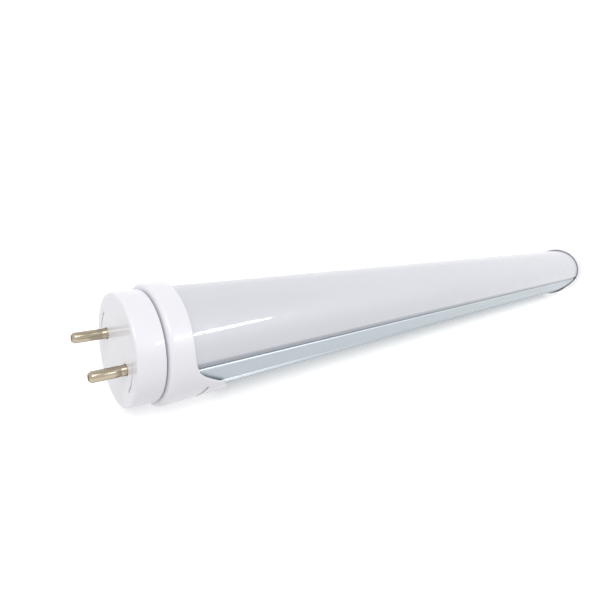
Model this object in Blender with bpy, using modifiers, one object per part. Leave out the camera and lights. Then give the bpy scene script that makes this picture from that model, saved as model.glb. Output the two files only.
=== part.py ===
"""LED light tube: a short T8 retrofit lamp with G13 two-pin caps that turn.

X runs along the tube, +Z is the side that lights up, and the origin is the tube's middle.
Everything at an end is drawn in that cap's own frame, where x starts at the cap's outer face
and grows towards the middle of the tube. The far cap is the near one turned half round Z.
"""
import math

import bmesh
import bpy

MM = 0.001

# Driving sizes: the G13 cap and T8 tube standard, in the 300 mm length
FACE_TO_FACE = 288.0 * MM
TUBE_RADIUS = 13.0 * MM
PIN_SPACING = 12.7 * MM
PIN_RADIUS = 1.175 * MM
PIN_REACH = 7.1 * MM

FIT = 0.1 * MM          # between pieces that are fixed to each other
CLEARANCE = 0.3 * MM    # between pieces that move, and round what slides together

# Pin ring: the end piece that turns, with a hub that snaps through the collar
RING_RADIUS = 12.8 * MM
RING_LENGTH = 6.0 * MM
RING_WALL = 1.1 * MM
RING_FACE = 1.8 * MM
RING_EDGE = 0.5 * MM
HUB_RADIUS = 8.5 * MM
HUB_BORE = 7.6 * MM
HUB_END = 8.9 * MM
GROOVE_RADIUS = 8.1 * MM

# Collar: the fixed cap sleeve, with a long tongue at the back
COLLAR_RADIUS = 14.1 * MM
COLLAR_WALL = 0.8 * MM
COLLAR_CHAMFER = 0.8 * MM
COLLAR_START = RING_LENGTH + CLEARANCE
COLLAR_HOLE = HUB_RADIUS + CLEARANCE
COLLAR_SHORT = 5.4 * MM
COLLAR_TONGUE = 17.0 * MM
TONGUE_EDGE_ANGLE = math.radians(82.0)
TONGUE_SOFTNESS = math.radians(15.0)

# Retaining clip: it sits in the hub's groove, behind the collar's end wall
CLIP_START = COLLAR_START + COLLAR_WALL + CLEARANCE
CLIP_THICKNESS = 0.8 * MM
CLIP_RADIUS = 9.5 * MM
CLIP_BORE = 8.35 * MM
CLIP_OPENING = math.radians(40.0)

# Heat sink: one aluminium extrusion
BODY_START = 9.4 * MM
BODY_LENGTH = FACE_TO_FACE - 2.0 * BODY_START
SINK_HALF_SPAN = 97.5   # degrees from the back's centre to the lip
CHAMBER_RADIUS = 12.0 * MM
FINE_BAND = (9.0, 37.0)
FINE_COUNT = 11
FINE_DEPTH = 0.25 * MM
COARSE_BAND = (50.5, 72.0)
COARSE_COUNT = 7
COARSE_DEPTH = 0.4 * MM
LIP_RADIUS = 12.2 * MM
LIP_GROOVE_FLOOR = -1.0 * MM
SHELF_TOP = -1.2 * MM
SHELF_BOTTOM = -2.4 * MM
RAIL_OUTSIDE = 10.7 * MM
RAIL_INSIDE = 9.8 * MM
RAIL_HOOK = 8.9 * MM
RAIL_TOP = 0.9 * MM
HOOK_UNDERSIDE = 0.4 * MM
BOSS_ANGLE = math.radians(50.0)
BOSS_DISTANCE = 10.9 * MM
BOSS_RADIUS = 1.9 * MM
BOSS_HOLE = 1.1 * MM
WIRE_NOTCH = (8.0 * MM, 6.0 * MM)

# Diffuser: an opal strip whose feet slide behind the heat sink's lips
DIFFUSER_EDGE = 81.9    # degrees from the diffuser's centre
DIFFUSER_INSIDE = 12.1 * MM
FOOT_END = 88.0
FOOT_OUTSIDE = LIP_RADIUS - CLEARANCE
FOOT_INSIDE = 11.1 * MM

# LED board
BOARD_HALF_WIDTH = RAIL_INSIDE - CLEARANCE
BOARD_BOTTOM = SHELF_TOP + CLEARANCE
BOARD_TOP = 0.1 * MM
BOARD_LENGTH = 252.0 * MM
LED_COUNT = 24
LED_PITCH = 10.5 * MM
LED_SIZE = (2.8 * MM, 3.5 * MM, 0.8 * MM)

# Driver: a narrow board in the chamber, near cap's end, with its parts hanging below it
DRIVER_START = -122.0 * MM
DRIVER_END = -46.0 * MM
DRIVER_HALF_WIDTH = 8.0 * MM
DRIVER_TOP = -3.2 * MM
DRIVER_BOTTOM = -4.2 * MM
PARTS_TOP = DRIVER_BOTTOM - FIT
SLEEVE_WALL = 0.3 * MM

SCREW_HEAD = 1.45 * MM
SCREW_SHANK = 0.8 * MM
SCREW_LENGTH = 9.0 * MM

ROUND_STEPS = 60
SMALL_STEPS = 16
ALONG_X = (math.pi / 2, 0.0, math.pi / 2)   # an outline's own axes become Y and Z, its depth X


def empty_scene():
    """Remove every object, so the script can be run again."""
    for old in list(bpy.data.objects):
        bpy.data.objects.remove(old, do_unlink=True)


def new_collection(name, shown=True):
    """Make a collection; the cutters' one is kept out of renders."""
    collection = bpy.data.collections.new(name)
    bpy.context.scene.collection.children.link(collection)
    collection.hide_render = not shown
    return collection


def material(name, colour, roughness, metallic=0.0):
    """Make a Principled material with one colour."""
    made = bpy.data.materials.new(name)
    made.use_nodes = True
    shader = made.node_tree.nodes["Principled BSDF"]
    shader.inputs["Base Color"].default_value = (*colour, 1.0)
    shader.inputs["Roughness"].default_value = roughness
    shader.inputs["Metallic"].default_value = metallic
    return made


def add_object(name, data, finish, collection=None):
    """Put new mesh or curve data into the scene as a named object."""
    made = bpy.data.objects.new(name, data)
    data.materials.append(finish)
    (collection or PARTS).objects.link(made)
    return made


def mesh_object(name, bm, finish, collection=None):
    """Turn an edited bmesh into an object."""
    mesh = bpy.data.meshes.new(name)
    bm.to_mesh(mesh)
    bm.free()
    return add_object(name, mesh, finish, collection)


def curve_to_mesh(curve_object):
    """Swap a curve for the solid mesh it makes, so that it can be cut."""
    name = curve_object.name
    depsgraph = bpy.context.evaluated_depsgraph_get()
    mesh = bpy.data.meshes.new_from_object(curve_object.evaluated_get(depsgraph))
    place = curve_object.matrix_world.copy()
    bpy.data.objects.remove(curve_object, do_unlink=True)
    bm = bmesh.new()
    bm.from_mesh(mesh)
    bmesh.ops.remove_doubles(bm, verts=bm.verts, dist=1e-7)
    bm.to_mesh(mesh)
    bm.free()
    made = bpy.data.objects.new(name, mesh)
    made.matrix_world = place
    PARTS.objects.link(made)
    return made


def cut(target, cutter, name):
    """Cut one solid out of another with a Boolean modifier."""
    cutter.display_type = "WIRE"
    cutter.hide_render = True
    modifier = target.modifiers.new(name, "BOOLEAN")
    modifier.operation = "DIFFERENCE"
    modifier.solver = "EXACT"
    modifier.object = cutter


def polar(radius, degrees_from_back):
    """A cross-section point (y, z); zero degrees is the middle of the heat sink's back."""
    angle = math.radians(degrees_from_back)
    return (radius * math.sin(angle), -radius * math.cos(angle))


def arc(radius, start, end, step=4.0):
    """Cross-section points along an arc, both ends included."""
    count = max(1, round(abs(end - start) / step))
    return [polar(radius, start + (end - start) * i / count) for i in range(count + 1)]


def mirrored(points):
    """The other side of a symmetric outline, in walking order."""
    return [(-y, z) for y, z in reversed(points)]


def extruded(name, outlines, start, end, finish):
    """A cross-section, with holes for the outlines after the first, drawn along X."""
    curve = bpy.data.curves.new(name, "CURVE")
    curve.dimensions = "2D"
    curve.fill_mode = "BOTH"
    curve.extrude = (end - start) / 2.0
    for outline in outlines:
        spline = curve.splines.new("POLY")
        spline.points.add(len(outline) - 1)
        for point, (u, v) in zip(spline.points, outline):
            point.co = (u, v, 0.0, 1.0)
        spline.use_cyclic_u = True
    made = add_object(name, curve, finish)
    made.rotation_euler = ALONG_X
    made.location.x = (start + end) / 2.0
    return made


def turned(name, profile, finish, steps=ROUND_STEPS, closed=False, collection=None):
    """A solid of revolution about X from (x, radius) points."""
    bm = bmesh.new()
    verts = [bm.verts.new((x, radius, 0.0)) for x, radius in profile]
    for first, second in zip(verts, verts[1:]):
        bm.edges.new((first, second))
    if closed:
        bm.edges.new((verts[-1], verts[0]))
    made = mesh_object(name, bm, finish, collection)
    screw = made.modifiers.new("Turn", "SCREW")
    screw.axis = "X"
    screw.steps = steps
    screw.render_steps = steps
    screw.use_merge_vertices = True
    screw.merge_threshold = 1e-6
    screw.use_normal_flip = True
    return made


def block(name, low, high, finish, bevel=0.0, collection=None):
    """A box between two corners, with its edges rounded by a Bevel modifier."""
    bm = bmesh.new()
    bmesh.ops.create_cube(bm, size=1.0)
    size = [b - a for a, b in zip(low, high)]
    bmesh.ops.scale(bm, vec=size, verts=bm.verts)
    made = mesh_object(name, bm, finish, collection)
    made.location = [(a + b) / 2.0 for a, b in zip(low, high)]
    if bevel:
        rounding = made.modifiers.new("Rounded edges", "BEVEL")
        rounding.width = bevel
        rounding.segments = 1
    return made


def smooth_route(points, per_span=4):
    """Points along a Catmull-Rom curve through a wire's route."""
    ends = [points[0]] + points + [points[-1]]
    route = []
    for a, b, c, d in zip(ends, ends[1:], ends[2:], ends[3:]):
        for step in range(per_span):
            t = step / per_span
            weights = (
                -0.5 * t + t * t - 0.5 * t ** 3,
                1.0 - 2.5 * t * t + 1.5 * t ** 3,
                0.5 * t + 2.0 * t * t - 1.5 * t ** 3,
                -0.5 * t * t + 0.5 * t ** 3,
            )
            route.append([sum(w * p[k] for w, p in zip(weights, (a, b, c, d))) for k in range(3)])
    route.append(list(points[-1]))
    return route


def wire(name, points, radius, finish):
    """An insulated wire along a smooth route, given in millimetres."""
    curve = bpy.data.curves.new(name, "CURVE")
    curve.dimensions = "3D"
    curve.bevel_depth = radius
    curve.bevel_resolution = 2
    curve.use_fill_caps = True
    route = smooth_route(points)
    spline = curve.splines.new("POLY")
    spline.points.add(len(route) - 1)
    for point, place in zip(spline.points, route):
        point.co = (*[value * MM for value in place], 1.0)
    return add_object(name, curve, finish)


def at_end(made, end):
    """Move a piece drawn in a cap's frame to the near or the far end."""
    made.location.x = -FACE_TO_FACE / 2.0
    if end == "far":
        made.location.x = FACE_TO_FACE / 2.0
        made.rotation_euler.z += math.pi
    return made


def boss_place(side):
    """Where a cap screw runs, as (y, z)."""
    return (side * BOSS_DISTANCE * math.sin(BOSS_ANGLE), -BOSS_DISTANCE * math.cos(BOSS_ANGLE))


# ---------------------------------------------------------------- heat sink and diffuser

def groove_band(band, count, depth):
    """Cross-section points of a run of equal grooves."""
    start, end = band
    pitch = (end - start) / count
    points = []
    for index in range(count):
        edge = start + index * pitch
        points.append(polar(TUBE_RADIUS, edge + 0.10 * pitch))
        points.append(polar(TUBE_RADIUS - depth, edge + 0.32 * pitch))
        points.append(polar(TUBE_RADIUS - depth, edge + 0.68 * pitch))
        points.append(polar(TUBE_RADIUS, edge + 0.90 * pitch))
    return points


def sink_outline():
    """The extrusion's outside: ribbed back, lips, diffuser grooves and board rails."""
    back = arc(TUBE_RADIUS, 3.0, FINE_BAND[0], 3.0)
    back += groove_band(FINE_BAND, FINE_COUNT, FINE_DEPTH)
    back += arc(TUBE_RADIUS, FINE_BAND[1], COARSE_BAND[0], 3.0)
    back += groove_band(COARSE_BAND, COARSE_COUNT, COARSE_DEPTH)
    back += arc(TUBE_RADIUS, COARSE_BAND[1], SINK_HALF_SPAN, 4.0)
    groove_angle = math.degrees(math.acos(-LIP_GROOVE_FLOOR / LIP_RADIUS))
    inside = arc(LIP_RADIUS, SINK_HALF_SPAN, groove_angle)
    inside += [
        (RAIL_OUTSIDE, LIP_GROOVE_FLOOR),
        (RAIL_OUTSIDE, RAIL_TOP),
        (RAIL_HOOK, RAIL_TOP),
        (RAIL_HOOK, HOOK_UNDERSIDE),
        (RAIL_INSIDE, HOOK_UNDERSIDE),
        (RAIL_INSIDE, SHELF_TOP),
    ]
    return [polar(TUBE_RADIUS, 0.0)] + back + inside + mirrored(inside) + mirrored(back)


def chamber_outline():
    """The driver's D-shaped chamber, with a screw boss standing in from each side."""
    limit = math.degrees(math.acos(-SHELF_BOTTOM / CHAMBER_RADIUS))
    count = 66
    points = []
    for index in range(count + 1):
        angle = -limit + 2.0 * limit * index / count
        off_axis = math.radians(abs(angle)) - BOSS_ANGLE
        reach = BOSS_RADIUS ** 2 - (BOSS_DISTANCE * math.sin(off_axis)) ** 2
        radius = CHAMBER_RADIUS
        if reach > 0.0:
            radius = min(radius, BOSS_DISTANCE * math.cos(off_axis) - math.sqrt(reach))
        points.append(polar(radius, angle))
    return points


def circle_outline(centre, radius, steps=SMALL_STEPS):
    """A round hole in a cross-section."""
    turns = [2.0 * math.pi * i / steps for i in range(steps)]
    return [(centre[0] + radius * math.cos(t), centre[1] + radius * math.sin(t)) for t in turns]


def make_heat_sink():
    """The aluminium extrusion, with a notch for the wires at each end of its shelf."""
    outlines = [sink_outline(), chamber_outline()]
    outlines += [circle_outline(boss_place(side), BOSS_HOLE) for side in (-1, 1)]
    half = BODY_LENGTH / 2.0
    sink = curve_to_mesh(extruded("heat_sink", outlines, -half, half, ALUMINIUM))
    length, width = WIRE_NOTCH
    for end, direction in (("near", -1.0), ("far", 1.0)):
        inner, outer = sorted((direction * (half - length), direction * (half + length)))
        low = (inner, -width / 2.0, SHELF_BOTTOM - 0.5 * MM)
        high = (outer, width / 2.0, SHELF_TOP + 0.5 * MM)
        notch = block(f"{end}_wire_notch", low, high, ALUMINIUM, collection=CUTTERS)
        cut(sink, notch, f"{end} wire notch")


def make_diffuser():
    """The opal strip, with a foot along each edge."""
    side = [polar(TUBE_RADIUS, 180.0 - DIFFUSER_EDGE)]
    side += arc(FOOT_OUTSIDE, 180.0 - DIFFUSER_EDGE, 180.0 - FOOT_END)
    side += arc(FOOT_INSIDE, 180.0 - FOOT_END, 100.0)
    side += [polar(DIFFUSER_INSIDE, 102.0)]
    outside = arc(TUBE_RADIUS, 180.0 + DIFFUSER_EDGE, 180.0 - DIFFUSER_EDGE)[:-1]
    inside = arc(DIFFUSER_INSIDE, 102.0, 258.0)[1:-1]
    outline = outside + side + inside + mirrored(side)[:-1]
    half = BODY_LENGTH / 2.0
    extruded("diffuser", [outline], -half, half, OPAL)


# ---------------------------------------------------------------- LED board

def make_led_board():
    """The strip board and its row of surface-mounted LEDs."""
    half = BOARD_LENGTH / 2.0
    low = (-half, -BOARD_HALF_WIDTH, BOARD_BOTTOM)
    high = (half, BOARD_HALF_WIDTH, BOARD_TOP)
    block("led_board", low, high, WHITE_BOARD)
    for index in range(LED_COUNT):
        make_led(index + 1, (index - (LED_COUNT - 1) / 2.0) * LED_PITCH)


def make_led(number, x):
    """One LED package, with the shallow cup that holds its phosphor."""
    bm = bmesh.new()
    bmesh.ops.create_cube(bm, size=1.0)
    bmesh.ops.scale(bm, vec=LED_SIZE, verts=bm.verts)
    top = max(bm.faces, key=lambda face: face.calc_center_median().z)
    bmesh.ops.inset_region(bm, faces=[top], thickness=0.35 * MM)
    bmesh.ops.translate(bm, vec=(0.0, 0.0, -0.2 * MM), verts=top.verts)
    led = mesh_object(f"led_{number:02d}", bm, LED_PACKAGE)
    led.location = (x, 0.0, BOARD_TOP + FIT + LED_SIZE[2] / 2.0)


# ---------------------------------------------------------------- driver

def make_driver():
    """The driver board, its shrink sleeve and the parts that hang below it."""
    low = (DRIVER_START, -DRIVER_HALF_WIDTH, DRIVER_BOTTOM)
    high = (DRIVER_END, DRIVER_HALF_WIDTH, DRIVER_TOP)
    block("driver_board", low, high, GREEN_BOARD)
    make_sleeve()
    make_fuse_resistor(-118.0 * MM)
    hanging_block("bridge_rectifier", -111.0 * MM, (5.0 * MM, 6.0 * MM, 2.4 * MM), BLACK_MOULDING)
    make_choke(-103.0 * MM)
    hanging_block("film_capacitor", -95.0 * MM, (6.0 * MM, 9.0 * MM, 5.0 * MM), FILM_YELLOW)
    make_can("input_capacitor", -91.0 * MM, 11.0 * MM)
    make_transformer(-71.0 * MM)
    hanging_block("controller_chip", -61.5 * MM, (5.0 * MM, 6.0 * MM, 1.6 * MM), BLACK_MOULDING)
    make_can("output_capacitor", -57.0 * MM, 10.0 * MM)


def make_sleeve():
    """A loose shrink sleeve round the driver, open at both ends."""
    outside = [
        (8.8 * MM, -2.7 * MM),
        (8.8 * MM, -4.6 * MM),
        (6.1 * MM, -5.9 * MM),
        (6.0 * MM, -9.4 * MM),
        (4.6 * MM, -10.6 * MM),
    ]
    inside = [(y - SLEEVE_WALL, z + SLEEVE_WALL) for y, z in outside]
    inside[0] = (outside[0][0] - SLEEVE_WALL, outside[0][1] - SLEEVE_WALL)
    outlines = [outside + mirrored(outside), inside + mirrored(inside)]
    extruded("driver_sleeve", outlines, DRIVER_START - 1.0 * MM, DRIVER_END + 1.0 * MM, BLACK_SLEEVE)


def hanging_block(name, x, size, finish):
    """A box-shaped part on the driver board's underside."""
    low = (x - size[0] / 2.0, -size[1] / 2.0, PARTS_TOP - size[2])
    high = (x + size[0] / 2.0, size[1] / 2.0, PARTS_TOP)
    block(name, low, high, finish, bevel=0.3 * MM)


def make_can(name, x, length):
    """An electrolytic capacitor lying along the board, with its crimped neck."""
    radius = 2.8 * MM
    profile = [
        (0.0, 0.0),
        (0.0, radius - 0.3 * MM),
        (0.3 * MM, radius),
        (1.2 * MM, radius),
        (1.5 * MM, radius - 0.35 * MM),
        (1.8 * MM, radius),
        (length - 0.3 * MM, radius),
        (length, radius - 0.3 * MM),
        (length, 0.0),
    ]
    can = turned(name, profile, CAN_GREY, steps=SMALL_STEPS)
    can.location = (x, 0.0, PARTS_TOP - radius)


def make_fuse_resistor(x):
    """A fusible resistor, dumb-bell shaped, lying across the board."""
    profile = [
        (0.0, 0.0),
        (0.0, 1.1 * MM),
        (0.4 * MM, 1.4 * MM),
        (1.6 * MM, 1.4 * MM),
        (2.0 * MM, 1.15 * MM),
        (6.0 * MM, 1.15 * MM),
        (6.4 * MM, 1.4 * MM),
        (7.6 * MM, 1.4 * MM),
        (8.0 * MM, 1.1 * MM),
        (8.0 * MM, 0.0),
    ]
    resistor = turned("fuse_resistor", profile, RESISTOR_GREEN, steps=SMALL_STEPS)
    resistor.rotation_euler.z = math.pi / 2.0
    resistor.location = (x, -4.0 * MM, PARTS_TOP - 1.4 * MM)


def bobbin_profile(height, flange, waist):
    """A drum with a flange at each end and a full winding between them."""
    return [
        (0.0, 0.0),
        (0.0, flange),
        (0.7 * MM, flange),
        (0.7 * MM, waist),
        (height - 0.7 * MM, waist),
        (height - 0.7 * MM, flange),
        (height, flange),
        (height, 0.0),
    ]


def make_choke(x):
    """The input filter's drum choke, standing upside down on the board."""
    choke = turned("input_choke", bobbin_profile(5.4 * MM, 3.8 * MM, 3.2 * MM), FERRITE, SMALL_STEPS)
    choke.rotation_euler.y = math.pi / 2.0
    choke.location = (x, 0.0, PARTS_TOP)


def make_transformer(x):
    """The flyback transformer: a ferrite frame with the wound bobbin in its window."""
    height = 5.2 * MM
    low = (x - 6.0 * MM, -5.2 * MM, PARTS_TOP - height)
    high = (x + 6.0 * MM, 5.2 * MM, PARTS_TOP)
    core = block("transformer_core", low, high, FERRITE)
    window_low = (x - 3.9 * MM, -3.9 * MM, low[2] - 1.0 * MM)
    window_high = (x + 3.9 * MM, 3.9 * MM, high[2] + 1.0 * MM)
    cut(core, block("core_window", window_low, window_high, FERRITE, collection=CUTTERS), "Window")
    winding = turned(
        "transformer_winding", bobbin_profile(height, 3.5 * MM, 3.1 * MM), TAPE_YELLOW, SMALL_STEPS
    )
    winding.rotation_euler.y = math.pi / 2.0
    winding.location = (x, 0.0, PARTS_TOP)


# ---------------------------------------------------------------- wires, in millimetres

SUPPLY_ROUTE = [
    (-139.1, 6.35, 0.0),
    (-137.6, 5.9, -1.6),
    (-135.4, 4.9, -4.2),
    (-131.5, 4.3, -5.3),
    (-126.0, 4.0, -5.2),
    (-121.0, 4.0, -5.1),
]
LED_ROUTE = [
    (-121.0, 1.6, -5.1),
    (-125.5, 1.6, -4.9),
    (-129.2, 1.6, -3.6),
    (-130.6, 1.6, -1.6),
    (-129.4, 1.6, 0.3),
    (-127.0, 1.6, 0.9),
    (-124.2, 1.6, 0.75),
]


def make_wires():
    """Supply wires from the near pins to the driver, and the driver's leads to the LED board."""
    for side, supply, lead in ((1.0, "live", "led_plus"), (-1.0, "neutral", "led_minus")):
        across = [(x, side * y, z) for x, y, z in SUPPLY_ROUTE]
        wire(f"{supply}_wire", across, 0.5 * MM, WIRE_COLOURS[supply])
        across = [(x, side * y, z) for x, y, z in LED_ROUTE]
        wire(f"{lead}_wire", across, 0.4 * MM, WIRE_COLOURS[lead])


# ---------------------------------------------------------------- end caps

def tongue_reach(angle_from_back):
    """How far the collar reaches along the tube, as a soft S between tongue and short side."""
    swing = math.tanh((abs(angle_from_back) - TONGUE_EDGE_ANGLE) / TONGUE_SOFTNESS)
    return COLLAR_SHORT + (COLLAR_TONGUE - COLLAR_SHORT) * 0.5 * (1.0 - swing)


def make_collar(end):
    """The fixed sleeve: a skin turned about X, drawn out to its tongue, then given thickness."""
    bm = bmesh.new()
    shoulder = COLLAR_START + COLLAR_CHAMFER
    profile = [
        (COLLAR_START, COLLAR_HOLE),
        (COLLAR_START, COLLAR_RADIUS - COLLAR_CHAMFER),
        (shoulder, COLLAR_RADIUS),
        (COLLAR_START + COLLAR_SHORT, COLLAR_RADIUS),
    ]
    verts = [bm.verts.new((x, 0.0, -radius)) for x, radius in profile]
    edges = [bm.edges.new(pair) for pair in zip(verts, verts[1:])]
    bmesh.ops.spin(
        bm, geom=verts + edges, cent=(0, 0, 0), axis=(1, 0, 0),
        angle=2.0 * math.pi, steps=ROUND_STEPS, use_merge=True,
    )
    for vert in bm.verts:
        if vert.co.x > shoulder + FIT:
            vert.co.x = COLLAR_START + tongue_reach(math.atan2(vert.co.y, -vert.co.z))
    bmesh.ops.recalc_face_normals(bm, faces=bm.faces)
    collar = at_end(mesh_object(f"{end}_collar", bm, CAP_PLASTIC), end)
    wall = collar.modifiers.new("Wall", "SOLIDIFY")
    wall.thickness = COLLAR_WALL
    wall.offset = -1.0
    wall.use_even_offset = True
    for number, side in enumerate((-1, 1), 1):
        seat = screw_seat(f"{end}_screw_seat_{number}", side, end)
        cut(collar, seat, f"Screw seat {number}")


def screw_seat(name, side, end):
    """The countersunk hole for one cap screw, as a cutter."""
    bm = bmesh.new()
    bmesh.ops.create_cone(
        bm, cap_ends=True, segments=SMALL_STEPS, depth=COLLAR_WALL + 0.4 * MM,
        radius1=SCREW_HEAD + 0.45 * MM, radius2=SCREW_SHANK + 0.2 * MM,
    )
    seat = mesh_object(name, bm, CAP_PLASTIC, CUTTERS)
    seat.rotation_euler.y = math.pi / 2.0
    at_end(seat, end)
    offset = COLLAR_START + COLLAR_WALL / 2.0
    place_beside_axis(seat, side, offset, end)
    return seat


def place_beside_axis(made, side, offset, end):
    """Move a screw or its seat from the cap's axis to its boss."""
    y, z = boss_place(side)
    inward = -1.0 if end == "far" else 1.0
    made.location.x += inward * offset
    made.location.y = inward * y
    made.location.z = z


def make_cap_screw(end, number, side):
    """A small countersunk screw from the collar's end wall into the heat sink's boss."""
    cone = SCREW_HEAD - SCREW_SHANK
    profile = [
        (0.0, 0.0),
        (0.0, SCREW_HEAD),
        (cone, SCREW_SHANK),
        (SCREW_LENGTH - SCREW_SHANK, SCREW_SHANK),
        (SCREW_LENGTH, 0.0),
    ]
    screw = turned(f"{end}_cap_screw_{number}", profile, STEEL, steps=SMALL_STEPS)
    at_end(screw, end)
    place_beside_axis(screw, side, COLLAR_START + FIT, end)


def make_ring(end):
    """The end piece that turns: pin face, outer wall, and the hub with its clip groove."""
    inside = RING_RADIUS - RING_WALL
    profile = [
        (0.0, 0.0),
        (0.0, RING_RADIUS - RING_EDGE),
        (0.15 * MM, RING_RADIUS - 0.15 * MM),
        (RING_EDGE, RING_RADIUS),
        (RING_LENGTH, RING_RADIUS),
        (RING_LENGTH, inside),
        (RING_FACE, inside),
        (RING_FACE, HUB_RADIUS),
        (CLIP_START - FIT, HUB_RADIUS),
        (CLIP_START - FIT, GROOVE_RADIUS),
        (CLIP_START + CLIP_THICKNESS + FIT, GROOVE_RADIUS),
        (CLIP_START + CLIP_THICKNESS + FIT, HUB_RADIUS),
        (HUB_END, HUB_RADIUS - 0.3 * MM),
        (HUB_END, HUB_BORE),
        (RING_FACE, HUB_BORE),
        (RING_FACE, 0.0),
    ]
    ring = at_end(turned(f"{end}_pin_ring", profile, CAP_PLASTIC), end)
    for number, side in enumerate((-1, 1), 1):
        bm = bmesh.new()
        bmesh.ops.create_cone(
            bm, cap_ends=True, segments=SMALL_STEPS, depth=3.0 * RING_FACE,
            radius1=PIN_RADIUS + FIT, radius2=PIN_RADIUS + FIT,
        )
        hole = mesh_object(f"{end}_pin_hole_{number}", bm, CAP_PLASTIC, CUTTERS)
        hole.rotation_euler.y = math.pi / 2.0
        at_end(hole, end)
        hole.location.y = side * PIN_SPACING / 2.0
        cut(ring, hole, f"Pin hole {number}")


def make_pin(end, number, side):
    """One contact pin, with a rounded tip outside and a thinner crimped tail inside."""
    profile = [
        (-PIN_REACH, 0.0),
        (-PIN_REACH, 0.55 * PIN_RADIUS),
        (-PIN_REACH + 0.2 * MM, 0.82 * PIN_RADIUS),
        (-PIN_REACH + 0.55 * MM, PIN_RADIUS),
        (RING_FACE - FIT, PIN_RADIUS),
        (RING_FACE - FIT, 0.9 * MM),
        (4.5 * MM, 0.9 * MM),
        (4.5 * MM, 0.0),
    ]
    pin = at_end(turned(f"{end}_pin_{number}", profile, NICKEL, steps=SMALL_STEPS), end)
    pin.location.y = side * PIN_SPACING / 2.0


def make_clip(end):
    """The spring clip that keeps the pin ring in its collar."""
    middle = math.pi
    sweep = math.pi - CLIP_OPENING / 2.0
    count = 40
    turns = [middle - sweep + 2.0 * sweep * i / count for i in range(count + 1)]
    outer = [(CLIP_RADIUS * math.sin(t), CLIP_RADIUS * math.cos(t)) for t in turns]
    inner = [(CLIP_BORE * math.sin(t), CLIP_BORE * math.cos(t)) for t in reversed(turns)]
    clip = extruded(f"{end}_clip", [outer + inner], 0.0, CLIP_THICKNESS, STEEL)
    middle_x = CLIP_START + CLIP_THICKNESS / 2.0
    clip.location.x = (-FACE_TO_FACE / 2.0 + middle_x) * (-1.0 if end == "far" else 1.0)


def make_cap(end):
    """Everything at one end of the tube."""
    make_collar(end)
    make_ring(end)
    make_clip(end)
    for number, side in enumerate((-1, 1), 1):
        make_pin(end, number, side)
        make_cap_screw(end, number, side)


empty_scene()
PARTS = new_collection("led_light_tube")
CUTTERS = new_collection("cutters", shown=False)

ALUMINIUM = material("satin aluminium", (0.52, 0.55, 0.58), 0.42, 0.9)
OPAL = material("opal polycarbonate", (0.78, 0.79, 0.82), 0.30)
CAP_PLASTIC = material("white cap plastic", (0.88, 0.88, 0.91), 0.22)
NICKEL = material("nickel-plated brass", (0.62, 0.58, 0.49), 0.30, 1.0)
STEEL = material("steel", (0.55, 0.55, 0.56), 0.35, 1.0)
WHITE_BOARD = material("white solder mask", (0.86, 0.87, 0.87), 0.40)
LED_PACKAGE = material("LED package", (0.90, 0.78, 0.30), 0.45)
GREEN_BOARD = material("green solder mask", (0.05, 0.22, 0.10), 0.40)
BLACK_SLEEVE = material("black shrink sleeve", (0.03, 0.03, 0.035), 0.45)
BLACK_MOULDING = material("black moulding compound", (0.02, 0.02, 0.02), 0.55)
FILM_YELLOW = material("yellow film capacitor", (0.70, 0.50, 0.08), 0.45)
CAN_GREY = material("capacitor sleeve", (0.10, 0.11, 0.14), 0.35)
RESISTOR_GREEN = material("resistor coating", (0.16, 0.32, 0.20), 0.50)
FERRITE = material("ferrite", (0.07, 0.07, 0.075), 0.60)
TAPE_YELLOW = material("winding tape", (0.72, 0.58, 0.12), 0.35)
WIRE_COLOURS = {
    "live": material("brown insulation", (0.20, 0.08, 0.04), 0.45),
    "neutral": material("blue insulation", (0.05, 0.15, 0.45), 0.45),
    "led_plus": material("red insulation", (0.55, 0.04, 0.04), 0.45),
    "led_minus": material("black insulation", (0.03, 0.03, 0.03), 0.45),
}

make_heat_sink()
make_diffuser()
make_led_board()
make_driver()
make_wires()
make_cap("near")
make_cap("far")
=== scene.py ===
"""Looks of the LED light tube: smooth mouldings, a rolled-edge extrusion, materials, light and camera.

Every length is in metres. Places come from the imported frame; cap profiles are drawn with x
measured inwards from the cap's outer face, as the CAD draws them.
"""
import math

import bmesh
import bpy
from mathutils import Matrix, Vector


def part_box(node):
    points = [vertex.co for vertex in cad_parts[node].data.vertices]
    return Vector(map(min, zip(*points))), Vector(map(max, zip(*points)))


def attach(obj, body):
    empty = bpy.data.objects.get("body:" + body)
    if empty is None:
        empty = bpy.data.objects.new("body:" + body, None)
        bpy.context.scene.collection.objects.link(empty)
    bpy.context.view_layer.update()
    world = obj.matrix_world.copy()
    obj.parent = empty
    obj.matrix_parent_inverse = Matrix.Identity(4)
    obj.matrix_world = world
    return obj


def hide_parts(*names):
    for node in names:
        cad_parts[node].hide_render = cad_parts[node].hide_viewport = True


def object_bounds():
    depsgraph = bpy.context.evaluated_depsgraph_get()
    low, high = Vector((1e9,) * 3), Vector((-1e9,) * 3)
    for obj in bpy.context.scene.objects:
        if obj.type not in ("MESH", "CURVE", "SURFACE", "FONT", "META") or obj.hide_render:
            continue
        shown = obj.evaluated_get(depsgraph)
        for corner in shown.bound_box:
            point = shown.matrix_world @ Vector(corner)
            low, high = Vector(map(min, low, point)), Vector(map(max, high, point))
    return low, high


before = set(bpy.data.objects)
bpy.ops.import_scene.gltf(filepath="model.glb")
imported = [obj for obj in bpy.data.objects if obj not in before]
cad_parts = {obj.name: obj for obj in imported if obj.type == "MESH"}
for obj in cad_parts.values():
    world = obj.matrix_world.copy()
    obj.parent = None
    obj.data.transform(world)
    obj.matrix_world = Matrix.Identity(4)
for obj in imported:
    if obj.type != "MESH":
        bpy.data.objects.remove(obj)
cad_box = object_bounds()

MM = 0.001

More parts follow.
